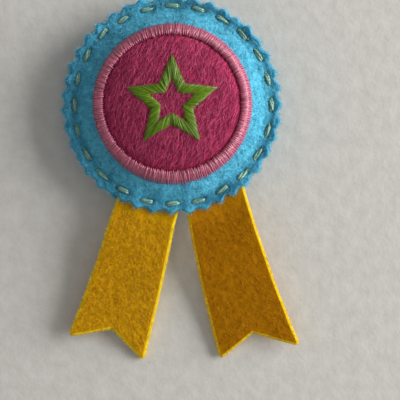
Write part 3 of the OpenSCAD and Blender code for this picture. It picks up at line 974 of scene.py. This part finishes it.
def build_border():
    count = BORDER_STRANDS
    rng = np.random.default_rng(61)
    a = (np.arange(count) + rng.uniform(-0.18, 0.18, count)) * 2 * math.pi / count
    lean = rng.normal(0, 0.004, count) + 0.006 * np.where(np.arange(count) % 2, 1, -1)
    r_in = BORDER_R - BORDER_W + rng.normal(0, 0.10, count) + 0.12 * np.cos(2 * a)
    r_out = BORDER_R - 0.12 + rng.normal(0, 0.06, count) + 0.12 * np.cos(2 * a + math.pi)

    def ground(x, y):
        r = np.hypot(x, y)
        edge = smooth(PATCH_R - 0.9, BORDER_R + 0.1, r)
        return patch_top(r) * (1 - edge) + (front_low(r) + front_thick(r)) * edge

    strands = satin(polar(r_in, a - lean), polar(r_out, a + lean), ground, 0.62, 0.168, 2.8, 62)
    cols = 240
    angles = ring_angles(cols)
    shares = np.linspace(0, 1, 9)
    outline = [(0.15, 0.25, t, 0.54 * math.sin(math.pi * t) ** 0.8 - 0.12) for t in shares]
    outline += [(0.2, 0.3, t, -0.35) for t in shares[::-1]]
    bed = []
    for in_gap, out_gap, t, up in outline:
        r = (BORDER_R - BORDER_W + in_gap) * (1 - t) + (BORDER_R - out_gap) * t
        x, y = r * np.cos(angles), r * np.sin(angles)
        bed.append(points3(x, y, ground(x, y) + up))
    bed_faces = looped_faces(len(bed), cols)[:, ::-1]
    obj = satin_piece("patch_border_satin", strands, bed, bed_faces, SATIN["pink"], 63)
    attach(obj, "head")
    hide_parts("patch_border")


def star_points(r, inner):
    return polar(np.where(np.arange(10) % 2 == 0, r, inner), math.pi / 2 + np.arange(10) * math.pi / 5)


def along_star(corners, shares):
    """Points at the same shares along each of a star's edges."""
    t = shares[:, None]
    return np.concatenate([a * (1 - t) + b * t for a, b in zip(corners, np.roll(corners, -1, 0))])


def build_star():
    edge = math.hypot(STAR_R - STAR_INNER_R * math.cos(math.pi / 5), STAR_INNER_R * math.sin(math.pi / 5))
    reach = STAR_R * STAR_INNER_R * math.sin(math.pi / 5) / edge
    share = (reach - STAR_W) / reach
    rng = np.random.default_rng(71)
    ends = []
    for r, inner in ((STAR_R, STAR_INNER_R), (STAR_R * share, STAR_INNER_R * share)):
        points = along_star(star_points(r, inner), (np.arange(STAR_STRANDS) + 0.5) / STAR_STRANDS)
        ends.append(points + rng.normal(0, 0.07, points.shape))

    def ground(x, y):
        return patch_top(np.hypot(x, y))

    strands = satin(*ends, ground, 0.46, 0.17, 3.2, 72)
    m = 12
    outer = along_star(star_points(STAR_R * 0.97, STAR_INNER_R * 0.96), np.arange(m) / m)
    inner = along_star(star_points(STAR_R * share * 1.08, STAR_INNER_R * share * 1.06), np.arange(m) / m)
    bed = []
    for f, up in ((0.0, 0.0), (0.25, 0.22), (0.5, 0.28), (0.75, 0.22), (1.0, 0.0), (1.0, -0.3), (0.0, -0.3)):
        x, y = (outer * (1 - f) + inner * f).T
        bed.append(points3(x, y, ground(x, y) + up))
    bed_faces = looped_faces(len(bed), 10 * m)
    obj = satin_piece("star_satin", strands, bed, bed_faces, SATIN["green"], 73)
    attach(obj, "head")
    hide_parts("star_motif")


# ---------------------------------------------------------------- the running stitch


def build_rim_stitches(name, node, height, up, turn, seed):
    """Each stitch is three plies twisted together, rising from one hole and diving into the next."""
    rng = np.random.default_rng(seed)
    plies = 3
    t = np.linspace(-1, 1, 34)
    arch = 1 - np.abs(t) ** 4.5
    dive = smooth(0.72, 1.0, np.abs(t))
    paths, radii = [], []
    for i in range(STITCHES):
        a0 = turn + i * STITCH_STEP + rng.normal(0, 0.004)
        r0 = STITCH_R + rng.normal(0, 0.14)
        lean = rng.normal(0, 0.11)
        half = STITCH_STEP * STITCH_R / 4 * (1.0 + rng.normal(0, 0.07)) + 0.1
        length = t * half
        side_step = length * math.sin(lean)
        rr = np.hypot(r0 + side_step, length)
        aa = a0 + np.arctan2(length, r0 + side_step)
        z = height(rr, aa) + up * (0.34 * arch - 1.1 * dive)
        paths.append(points3(rr * np.cos(aa), rr * np.sin(aa), z))
        radii.append(0.30 * (1 - 0.5 * np.abs(t) ** 3) * rng.uniform(0.9, 1.1))
    spread = np.array(radii)
    turns, phases = rng.normal(0.3, 0.06, STITCHES), rng.uniform(0, 2 * math.pi, STITCHES)
    strands = plied(np.array(paths), spread, turns, phases, plies)
    thick = np.tile(spread * 0.92, (plies, 1))
    verts, parts = tubes(strands, thick, 12, groove=0.12, turns=4.5, plies=plies)
    obj = make_mesh(name, verts, parts, MATERIALS["sage"])
    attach(obj, "head")
    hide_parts(node)


# ---------------------------------------------------------------- tails


def tail_height(tail, s):
    """Height of a tail's middle at s millimetres past its bend: down from the seam, and flat at its tips."""
    run = max(tail["left_len"], tail["right_len"]) * math.cos(tail["slope"])
    f = np.clip(s / run, 0, 1)
    straight = SEAM_Z + (FELT_T / 2 + 0.02 - SEAM_Z) * f
    bow = 0.75 * np.sin(math.pi * f) * (1 - 2 * f) + 0.25 * np.sin(math.pi * f)
    return np.where(s < 0, SEAM_Z, straight + bow * smooth(0, 0.1, f))


def grid_border(rows, cols):
    """Rows and columns of the points round a grid's edge, in order."""
    i = [np.zeros(cols, int), np.arange(1, rows), np.full(cols - 1, rows - 1), np.arange(rows - 2, 0, -1)]
    j = [np.arange(cols), np.full(rows - 1, cols - 1), np.arange(cols - 2, -1, -1), np.zeros(rows - 2, int)]
    return np.concatenate(i), np.concatenate(j)


def outward_normals(line, check):
    """Unit plan normals of a closed line of points, outward, as the point numbered check shows."""
    ahead = np.roll(line, -1, 0) - np.roll(line, 1, 0)
    normal = np.stack([ahead[:, 1], -ahead[:, 0]], -1)
    normal /= np.linalg.norm(normal, axis=1, keepdims=True) + 1e-9
    from_middle = (line[check] - line.mean(0))[:2]
    return -normal if (from_middle * normal[check]).sum() < 0 else normal


def fix_normals(obj):
    bm = bmesh.new()
    bm.from_mesh(obj.data)
    bmesh.ops.recalc_face_normals(bm, faces=bm.faces)
    bm.to_mesh(obj.data)
    bm.free()


def build_tail(side, bend_in, seed):
    """One tail, from its tab between the discs to its notched end. bend_in bows its axis sideways."""
    tail = TAILS[side]
    start = TAB_IN_R - TAIL_BEND_R
    shrink = math.cos(tail["slope"])
    cols, rows = 78, 190
    v = np.linspace(-1, 1, cols)
    notch = ((tail["left_len"] + tail["right_len"]) / 2 - NOTCH) * shrink
    left_end, right_end = tail["left_len"] * shrink, tail["right_len"] * shrink
    end = np.where(v < 0, notch + (left_end - notch) * -v, notch + (right_end - notch) * v)
    s = start + (end[None, :] - start) * np.linspace(0, 1, rows)[:, None]
    half = TAIL_W / 2 + np.maximum(s, 0) * math.tan(TAIL_FLARE)
    drift = bend_in * np.sin(np.clip(s / right_end, 0, 1) * math.pi)
    p = points3(s, v * half, float(seed))
    across = v * (half - TAIL_ROUND) + drift + 0.10 * noise(p, 0.22, seed)

    def place(z):
        u = tail["hinge"] + s
        x = tail["shift"] + u * tail["down"][0] + across * tail["cross"][0]
        return points3(x, u * tail["down"][1] + across * tail["cross"][1], z)

    x, y, _ = np.moveaxis(place(0.0), -1, 0)
    sag = 0.22 * noise(p, 0.07, seed + 1) * smooth(1, 8, s) * smooth(right_end, right_end - 8, s)
    wave = rim_wave(np.minimum(np.hypot(x, y), TIP_R), np.arctan2(y, x)) * smooth(7.0, 0.5, s)
    tilt = TAIL_TILT * tail["sign"] * smooth(-1.0, 5.0, s) * across
    rest = half * TAIL_TILT * smooth(right_end * 0.45, right_end, s)
    mid = tail_height(tail, s) + sag + wave + tilt + rest
    thick = FELT_T - (FELT_T - TAB_T) * smooth(1.5, -1.0, s)

    def lumps(which):
        return lumpy(0, points3(s, across, which * 7.0), seed + 2, (0.08, 0.8), (0.06, 2.1), (0.035, 4.8))

    top = place(mid + thick / 2 + lumps(1))
    bottom = place(np.maximum(mid - thick / 2 + 0.4 * lumps(2), 0.03))
    border = grid_border(rows, cols)
    t_edge, b_edge = top[border], bottom[border]
    normal = outward_normals(t_edge, cols + rows // 2)
    walls = cut_wall(t_edge, b_edge, normal, TAIL_ROUND, 0.75, seed + 6, (0.06, 2.4), (0.05, 6.0))
    verts = np.concatenate([top.reshape(-1, 3), bottom.reshape(-1, 3), walls.reshape(-1, 3)])
    n_top = rows * cols
    t_id = border[0] * cols + border[1]
    bands = [t_id, *(2 * n_top + np.arange(walls[..., 0].size).reshape(len(walls), -1)), n_top + t_id]
    parts = [grid_faces(rows, cols, 0, closed=False), grid_faces(rows, cols, n_top, closed=False)[:, ::-1]]
    open_faces = len(parts[0]) + len(parts[1])
    for one, two in zip(bands, bands[1:]):
        parts.append(np.stack([one, np.roll(one, -1), np.roll(two, -1), two], -1))
    # The right tail's felt and fibres are the yellow painted darker: painted shade.
    cloth = "yellow" if side == "left" else "yellow_shaded"
    obj = make_mesh(f"{side}_tail_felt", verts, parts, MATERIALS[cloth])
    # The cut edges take the paler felt: a painted highlight.
    obj.data.materials.append(MATERIALS["yellow_cut_lit"])
    on_wall = np.arange(len(obj.data.polygons)) >= open_faces
    obj.data.polygons.foreach_set("material_index", on_wall.astype(np.int32))
    fix_normals(obj)
    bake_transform(obj)
    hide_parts(f"{side}_tail", f"{side}_tail_tab")
    fuzz = tail_nap(side, cloth, top, bottom, s, t_edge, b_edge, normal, seed + 8)
    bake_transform(fuzz)


def tail_nap(side, cloth, top, bottom, s, t_edge, b_edge, outward, seed):
    """A tail's loose fibres: matted ones on both faces, laid along them in the tail's own grid, and standing
    ones round its cut edges."""
    rng = np.random.default_rng(seed)
    rows, cols = s.shape
    top_count, bottom_count, fringe_count = 3300 if side == "left" else 1600, 500, 2700

    def on_face(face, up, count):
        row = rng.uniform(1, rows - 2, count)
        col = rng.uniform(1, cols - 2, count)
        middle = face[rows // 2, cols // 2]
        per_row = np.linalg.norm(middle - face[rows // 2 + 1, cols // 2])
        per_col = np.linalg.norm(middle - face[rows // 2, cols // 2 + 1])
        heading, length = rng.uniform(0, 2 * math.pi, count), rng.uniform(0.5, 1.3, count)
        start = np.stack([row * per_row, col * per_col], -1)
        plan = fibre_paths(start, heading, length, MATTED_BEND, rng)
        i = np.clip(plan[..., 0] / per_row, 0, rows - 1.001)
        j = np.clip(plan[..., 1] / per_col, 0, cols - 1.001)
        i0, j0 = i.astype(int), j.astype(int)
        fi, fj = (i - i0)[..., None], (j - j0)[..., None]
        p = (face[i0, j0] * (1 - fi) + face[i0 + 1, j0] * fi) * (1 - fj)
        p = p + (face[i0, j0 + 1] * (1 - fi) + face[i0 + 1, j0 + 1] * fi) * fj
        p[..., 2] += up * stand_off(count, 0.20, rng)
        outside = s[row.astype(int), col.astype(int)] >= 0.3
        return p[outside]

    shown = s[grid_border(rows, cols)] > 0.2
    paths = [on_face(top, 1, top_count), on_face(bottom, -1, bottom_count)]
    paths.append(edge_fibres(t_edge[shown], b_edge[shown], outward[shown], fringe_count, 0.62, rng))
    paths = np.concatenate(paths)
    paths[..., 2] = np.maximum(paths[..., 2], 0.04)
    return nap_mesh(f"{side}_tail_nap", paths, 0.042, NAP[cloth], seed + 1, fringe_count)


# ---------------------------------------------------------------- inside and back


def build_stuffing():
    cols, rings = 128, 30
    a = ring_angles(cols)
    radii = (TAB_IN_R - 0.7) * (np.arange(rings) + 0.5) / rings
    points = []
    for r, top in [(r, True) for r in radii] + [(r, False) for r in radii[::-1]]:
        x, y, at = r * np.cos(a), r * np.sin(a), np.full(cols, r)
        if top:
            z = front_low(at) - 0.93 + 0.18 * noise(points3(x, y), 0.6, 81)
        else:
            z = back_low(at) + RIM_T + 0.35 + 0.1 * noise(points3(x, y, 5.0), 0.6, 82)
        points.append(points3(x, y, z))
    middles = [[0, 0, ring[:, 2].mean()] for ring in (points[0], points[-1])]
    verts = np.concatenate(points + [middles])
    obj = make_mesh("stuffing_fibre", verts, capped_faces(2 * rings, cols), MATERIALS["filling"])
    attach(obj, "head")
    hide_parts("stuffing")


def build_knot():
    """The overhand knot that ends the seam's thread, with its two cut ends lying on the back felt."""
    # between two stitches below the head's centre, as far in as the CAD's knot
    knot_x, knot_y = polar(STITCH_R - 1.45, math.radians(270) + 1.5 * STITCH_STEP)
    sunk = 0.18
    steps = 88

    def face(x, y):
        return back_height(np.hypot(x, y), np.arctan2(y, x))

    t = np.linspace(0, 2 * math.pi, steps + 2)[:-2]
    trefoil = [
        0.17 * (np.sin(t) + 2 * np.sin(2 * t)),
        0.17 * (np.cos(t) - 2 * np.cos(2 * t)),
        -0.16 * np.sin(3 * t),
    ]
    level = face(np.array([knot_x]), np.array([knot_y]))[0]
    paths = [np.stack(trefoil, -1) + np.array([knot_x, knot_y, level - sunk])]
    u = np.linspace(0, 1, steps)
    for turn, length in ((2.6, 2.6), (3.5, 1.9)):
        x = knot_x + length * u * np.cos(turn + 0.5 * u)
        y = knot_y + length * u * np.sin(turn + 0.5 * u)
        paths.append(points3(x, y, face(x, y) - sunk - 0.25 * np.sin(math.pi * u) * (1 - u)))
    middle = np.stack(paths)
    strands = plied(middle, np.full(middle.shape[:2], 0.11), np.array([2.5, 1.6, 1.2]), np.zeros(3), 3)
    verts, parts = tubes(strands, 0.115, 8)
    obj = make_mesh("seam_knot_thread", verts, parts, MATERIALS["sage"])
    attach(obj, "head")
    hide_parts("rim_knot")


def build_bar_thread():
    """Doubled sewing thread through each hole of the bar and over both of its edges, into the back felt."""
    mid_y = (BAR_LOW[1] + BAR_HIGH[1]) / 2
    thread_r = 0.13
    inner, outer = BAR_HOLE_R - 0.3, (BAR_HIGH[1] - BAR_LOW[1]) / 2 + 0.32
    over_z = BACK_Z - BAR_T - 0.18  # the height at which it passes over the bar
    rng = np.random.default_rng(95)
    k = 40
    along = np.linspace(0, 1, k) * 3  # up through the hole, over the bar, and back into the felt
    y = np.where(along < 1, inner, np.where(along > 2, outer, inner + (outer - inner) * (along - 1)))
    z = np.where(along < 1, BACK_Z + 0.7 - 1.4 * along - 0.18 * smooth(0.8, 1, along), over_z)
    z = np.where(along > 2, over_z + 1.6 * (along - 2), z)
    y, z = (np.convolve(np.pad(w, 2, mode="edge"), np.ones(5) / 5, mode="valid") for w in (y, z))
    paths = []
    for x in SEW_X + HEAD[0]:
        for side in (-1, 1):
            for pair in (-0.16, 0.16):
                paths.append(points3(np.full(k, x + pair + rng.normal(0, 0.05)), mid_y + side * y, z))
    middle = np.array(paths)
    n = len(middle)
    strands = plied(middle, np.full(middle.shape[:2], thread_r * 0.5), np.full(n, 6.0), np.zeros(n), 2)
    verts, parts = tubes(strands, thread_r * 0.62, 8)
    obj = make_mesh("bar_sewing_thread", verts, parts, MATERIALS["sewing"], at_head=False)
    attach(obj, "head")
    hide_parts("bar_stitches")


def dress_cad_nodes():
    """Materials of the CAD's own shapes, with worn edges on the steel that has any."""
    for node, material, bevel in (
        ("brooch_bar", "steel", 0.12),
        ("hinge_rivet", "steel", 0.12),
        ("catch_roller", "steel", 0.08),
        ("pin_stem", "wire", 0.0),
        ("stabiliser", "backing", 0.0),
        ("bobbin_stitching", "bobbin", 0.0),
    ):
        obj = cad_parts[node]
        obj.data.materials.clear()
        obj.data.materials.append(MATERIALS[material])
        if bevel:
            mod = obj.modifiers.new("worn_edges", "BEVEL")
            mod.width = bevel * MM
            mod.segments = 2
            mod.limit_method = "ANGLE"
            mod.angle_limit = math.radians(40)


# ---------------------------------------------------------------- floor, light and camera

PX = 0.254  # millimetres across one of the picture's 400 columns, at the rim's height
HEAD_PX = (172.6, 104.5)  # the head's centre in the picture
LIGHT_TURN = math.radians(11)  # the window's light comes from the right and a little above
LIGHT_UP = math.radians(21)
WINDOW_AWAY, WINDOW_SIZE, WINDOW_POWER = 0.95, (0.82, 0.60), 12.6
WINDOW_COLOUR = (1.0, 0.985, 0.955)
ROOM_COLOUR, ROOM_LIGHT = (0.98, 0.96, 0.93, 1), 0.285
LENS, SENSOR = 85, 36


def build_stage():
    s = Shader("paper")
    grain = s.noise(s.stretched(260), 5.0, 0.6)
    s.feed(Base_Color=s.ramp(grain, (0.3, (0.69, 0.68, 0.65)), (0.7, (0.78, 0.77, 0.74))))
    s.set(Roughness=0.85)
    s.bump(grain, 0.8, 0.00022)
    bpy.ops.mesh.primitive_plane_add(size=3.0, location=(0, 0, 0))
    floor = bpy.context.object
    floor.name = "floor"
    floor.data.materials.append(s.material)


def build_light():
    world = bpy.data.worlds.new("room")
    world.use_nodes = True
    background = world.node_tree.nodes["Background"]
    background.inputs["Color"].default_value = ROOM_COLOUR
    background.inputs["Strength"].default_value = ROOM_LIGHT
    bpy.context.scene.world = world
    light = bpy.data.lights.new("window", "AREA")
    light.shape = "RECTANGLE"
    light.size, light.size_y = WINDOW_SIZE
    light.energy = WINDOW_POWER
    light.color = WINDOW_COLOUR
    level = math.cos(LIGHT_UP)
    way = Vector((math.cos(LIGHT_TURN) * level, math.sin(LIGHT_TURN) * level, math.sin(LIGHT_UP)))
    window = bpy.data.objects.new("window", light)
    window.location = way * WINDOW_AWAY
    window.rotation_mode = "QUATERNION"
    window.rotation_quaternion = (-way).to_track_quat("-Z", "Y")
    bpy.context.scene.collection.objects.link(window)
    bpy.context.scene.view_settings.view_transform = "Standard"


def build_camera():
    camera = bpy.data.cameras.new("camera")
    camera.lens = LENS
    camera.sensor_width = SENSOR
    obj = bpy.data.objects.new("camera", camera)
    x = HEAD[0] + (200 - HEAD_PX[0]) * PX
    y = HEAD[1] - (200 - HEAD_PX[1]) * PX
    away = 400 * PX * LENS / SENSOR
    obj.location = Vector((x, y, SEAM_Z + 1.0 + away)) * MM
    bpy.context.scene.collection.objects.link(obj)
    bpy.context.scene.camera = obj


build_camera()
build_discs()
build_patch()
build_border()
build_star()
build_rim_stitches("rim_thread_front", "rim_stitch_front", front_height, 1, 0.0, 91)
build_rim_stitches("rim_thread_back", "rim_stitch_back", back_height, -1, STITCH_STEP / 2, 92)
build_tail("left", 0.25, 101)
build_tail("right", -0.5, 121)
build_stuffing()
build_knot()
build_bar_thread()
dress_cad_nodes()
build_stage()
build_light()
